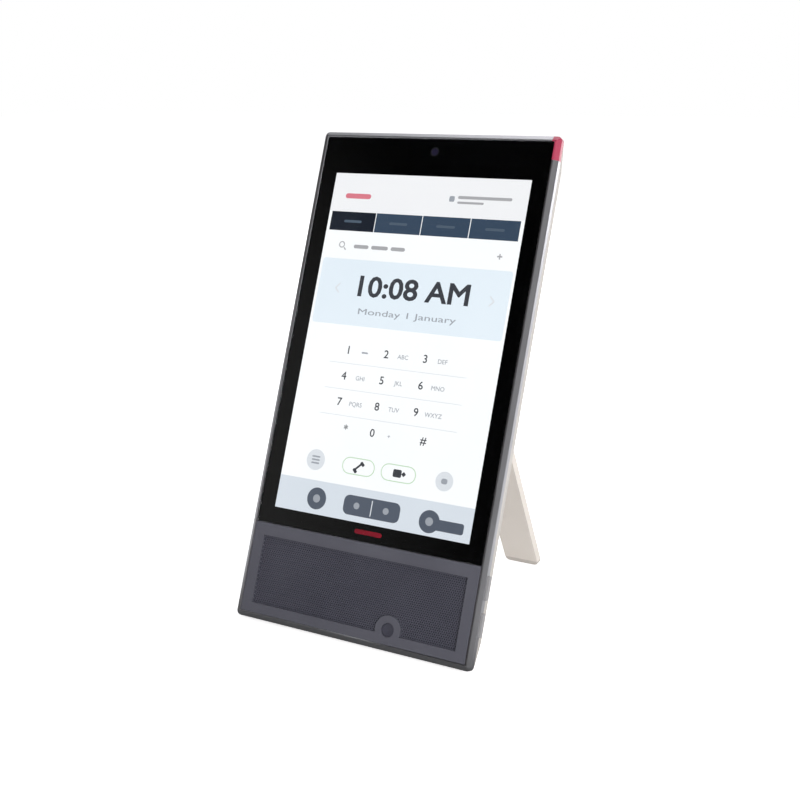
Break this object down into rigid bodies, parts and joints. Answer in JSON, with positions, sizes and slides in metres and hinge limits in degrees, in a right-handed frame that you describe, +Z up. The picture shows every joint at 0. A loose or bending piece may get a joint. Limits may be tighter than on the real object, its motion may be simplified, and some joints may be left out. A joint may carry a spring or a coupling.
{
  "type": "desk ip phone",
  "caption": "Tablet-style desk phone with a portrait touch display over a speaker panel, a corner light and side buttons, leaning back on a folding rear stand.",
  "frame": {"origin": "on the desk, under the middle of the phone's box with its stand open", "axes": "+X to the phone's right seen from the front, +Y from the front to the back, +Z up"},
  "size_m": [0.1314, 0.1302, 0.231],
  "materials": {
    "frame_metal": "satin bead-blasted",
    "cover_glass": "polished",
    "border_black": "gloss",
    "display_white": "gloss",
    "sheet_metal": "satin",
    "screw_steel": "satin",
    "board_green": "satin",
    "flex_amber": "satin",
    "plain_black": "matte",
    "jack_shell": "satin",
    "thermal_grey": "matte",
    "lens_glass": "polished",
    "light_red": "gloss",
    "led_white": "gloss",
    "bezel_charcoal": "satin",
    "mesh_charcoal": "matte",
    "cloth_black": "matte",
    "gasket_foam": "matte",
    "basket_steel": "satin",
    "cone_paper": "matte",
    "magnet_ferrite": "matte",
    "button_dark": "satin",
    "side_button_grey": "satin",
    "cover_grey": "matte",
    "stand_grey": "satin",
    "foot_rubber": "matte",
    "stand_foot_grey": "matte",
    "washer_nylon": "satin"
  },
  "bodies": {
    "phone_body": {"front_frame": "frame_metal", "cover_glass": "cover_glass", "border_film": "border_black", "lcd_panel": "display_white", "backlight_tray": "sheet_metal", "mid_plate": "sheet_metal", "mid_plate_screws": "screw_steel", "display_flex": "flex_amber", "display_connector": "plain_black", "main_board": "board_green", "board_standoffs": "screw_steel", "board_screws": "screw_steel", "processor": "plain_black", "thermal_pad": "thermal_grey", "shield_can": "jack_shell", "lan_jack": "jack_shell", "pc_jack": "jack_shell", "usb_port": "jack_shell", "wifi_antennas": "flex_amber", "camera_module": "plain_black", "camera_lens": "lens_glass", "camera_bracket": "sheet_metal", "light_pipe": "light_red", "light_board": "board_green", "indicator_led": "led_white", "microphones": "jack_shell", "speaker_bezel": "bezel_charcoal", "speaker_mesh": "mesh_charcoal", "speaker_cloth": "cloth_black", "speaker_gasket": "gasket_foam", "speaker_basket": "basket_steel", "speaker_cone": "cone_paper", "speaker_magnet": "magnet_ferrite", "round_button_switch": "plain_black", "button_board": "board_green", "side_switches": "plain_black", "side_switch_board": "board_green", "rear_cover": "cover_grey", "cover_screws": "screw_steel", "left_hinge_pin": "screw_steel", "right_hinge_pin": "screw_steel", "friction_washers": "washer_nylon", "base_feet": "foot_rubber"},
    "stand": {"stand": "stand_grey", "stand_feet": "stand_foot_grey"},
    "upper_button": {"side_button_upper": "side_button_grey"},
    "lower_button": {"side_button_lower": "side_button_grey"},
    "front_button": {"round_button": "button_dark"}
  },
  "joints": [
    {"name": "stand_hinge", "type": "hinge", "parent": "phone_body", "child": "stand", "pos_m": [-0.00065, 0.00439, 0.11465], "axis": [1, 0, 0], "range_deg": [-50.4, 0]},
    {"name": "upper_button_press", "type": "slide", "parent": "phone_body", "child": "upper_button", "axis": [-1, 0, 0], "range_m": [0, 0.0005], "stiffness_N_per_m": 3000, "springref_m": -0.0002},
    {"name": "lower_button_press", "type": "slide", "parent": "phone_body", "child": "lower_button", "axis": [-1, 0, 0], "range_m": [0, 0.0005], "stiffness_N_per_m": 3000, "springref_m": -0.0002},
    {"name": "front_button_press", "type": "slide", "parent": "phone_body", "child": "front_button", "axis": [0, 0.9171, -0.3987], "range_m": [0, 0.0007], "stiffness_N_per_m": 2500, "springref_m": -0.0002}
  ]
}
